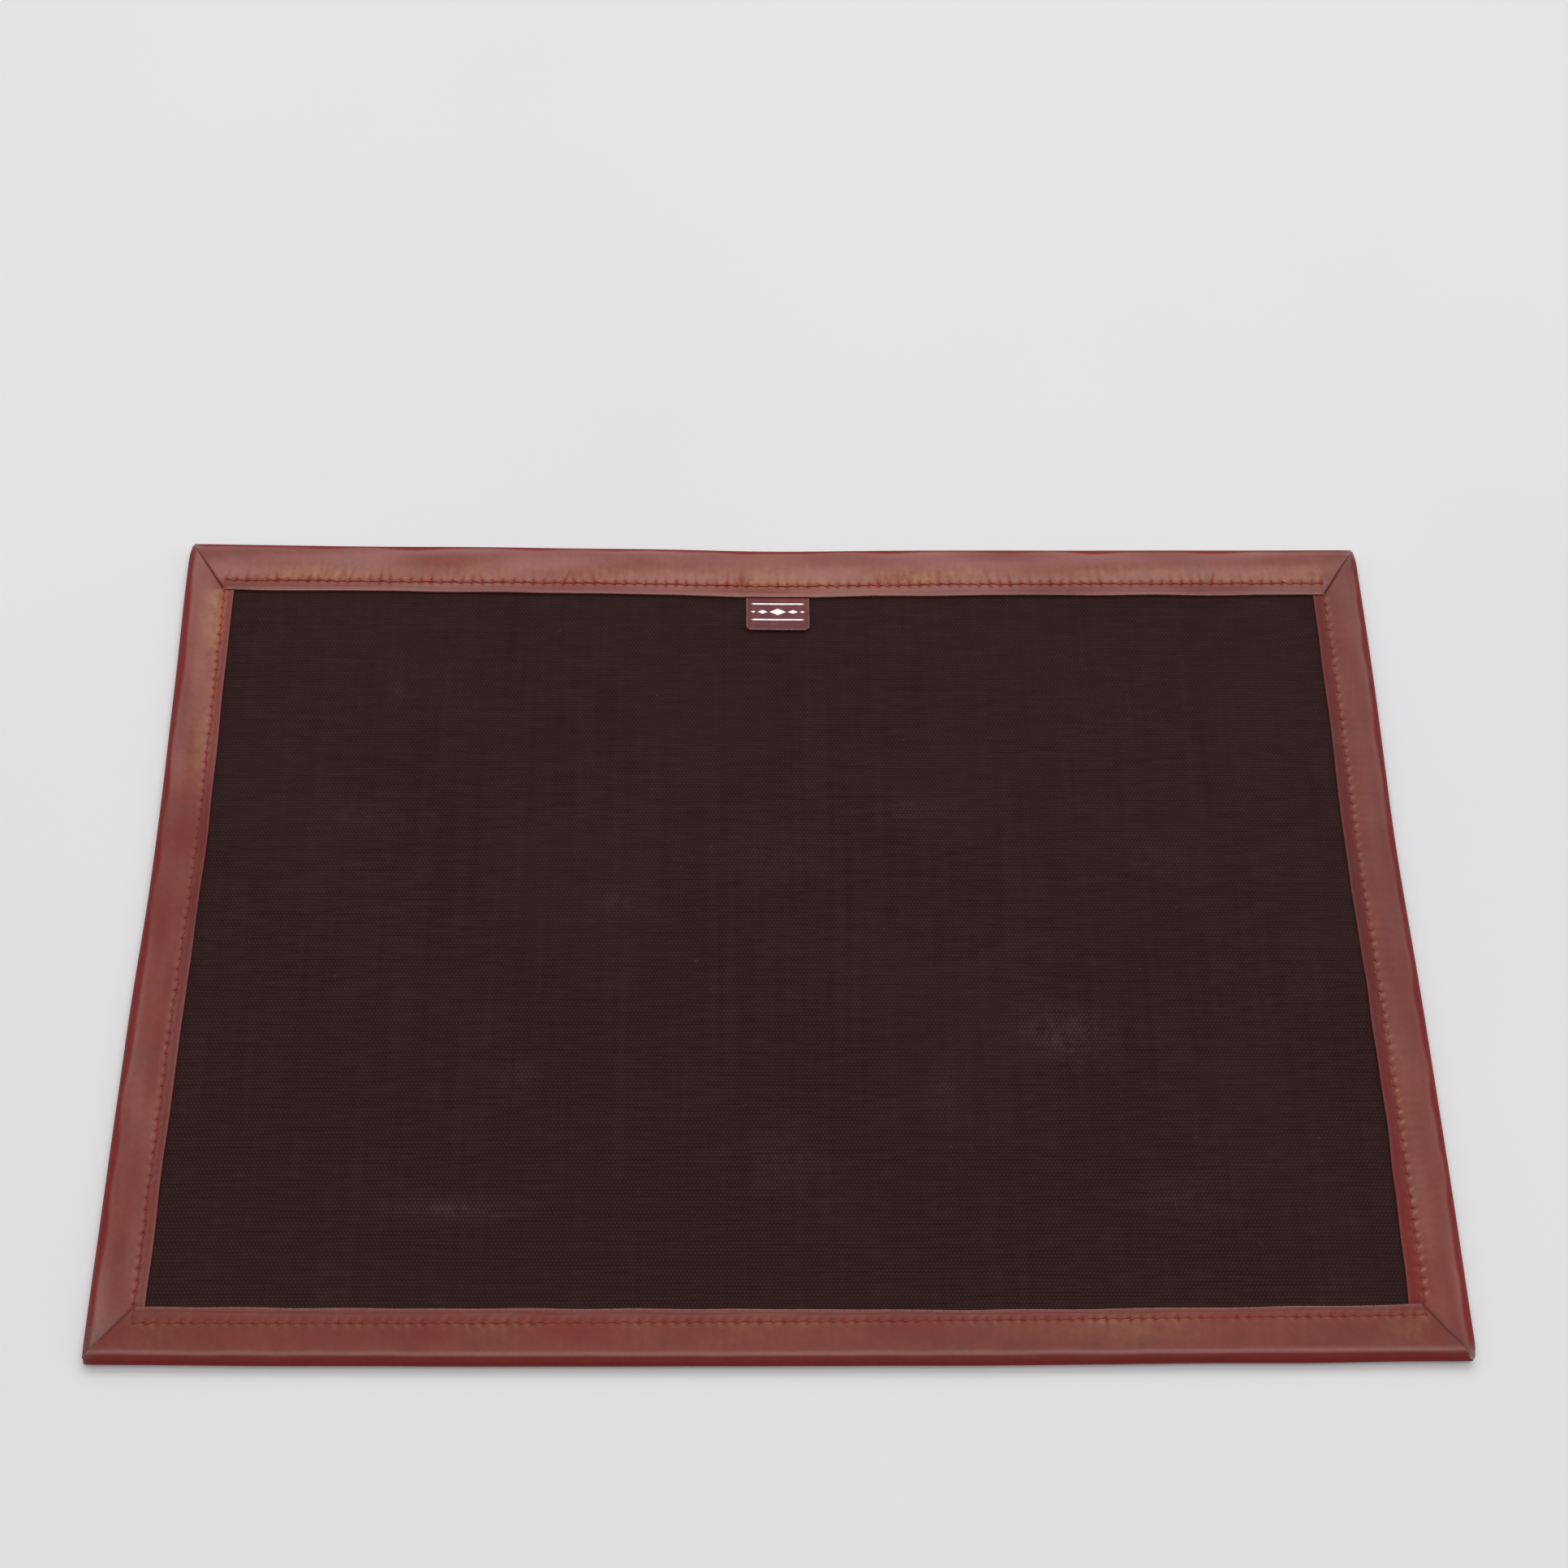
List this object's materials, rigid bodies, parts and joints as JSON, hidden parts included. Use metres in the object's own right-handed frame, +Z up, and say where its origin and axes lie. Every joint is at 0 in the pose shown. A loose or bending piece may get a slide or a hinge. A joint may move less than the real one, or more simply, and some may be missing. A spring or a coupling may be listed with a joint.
{
  "type": "desk mat",
  "caption": "Flat rectangular desk mat: a woven canvas writing panel edged by sewn, mitred leather bindings, with a small leather label tab at the back edge.",
  "frame": {"origin": "middle of the underside, on the plane the mat rests on", "axes": "+X along the long side to the right, +Y to the back edge that carries the tab, +Z up"},
  "size_m": [0.45, 0.315, 0.005],
  "materials": {
    "leather": "smooth oxblood calf with a soft sheen and an ochre patina along the stitching",
    "tab_leather": "smooth oxblood calf, satin",
    "canvas": "dark brown plain-weave ribbed canvas, matt",
    "felt": "thin pressed felt",
    "board": "grey-brown pulp board",
    "lining": "thin suede-finished lining leather",
    "thread": "waxed red linen thread",
    "foil": "silver stamping foil"
  },
  "bodies": {
    "mat": {"canvas_panel": "canvas", "felt_interlining": "felt", "core_board": "board", "base_lining": "lining", "binding_back": "leather", "binding_front": "leather", "binding_left": "leather", "binding_right": "leather", "stitching_back": "thread", "stitching_front": "thread", "stitching_left": "thread", "stitching_right": "thread", "tab_root": "leather"},
    "tab": {"label_tab": "tab_leather", "tab_foil": "foil"}
  },
  "joints": [
    {"name": "tab_flap", "type": "hinge", "parent": "mat", "child": "tab", "pos_m": [0, 0.1362, 0.00475], "axis": [-1, 0, 0], "range_deg": [0, 70], "stiffness_Nm_per_rad": 0.001}
  ]
}
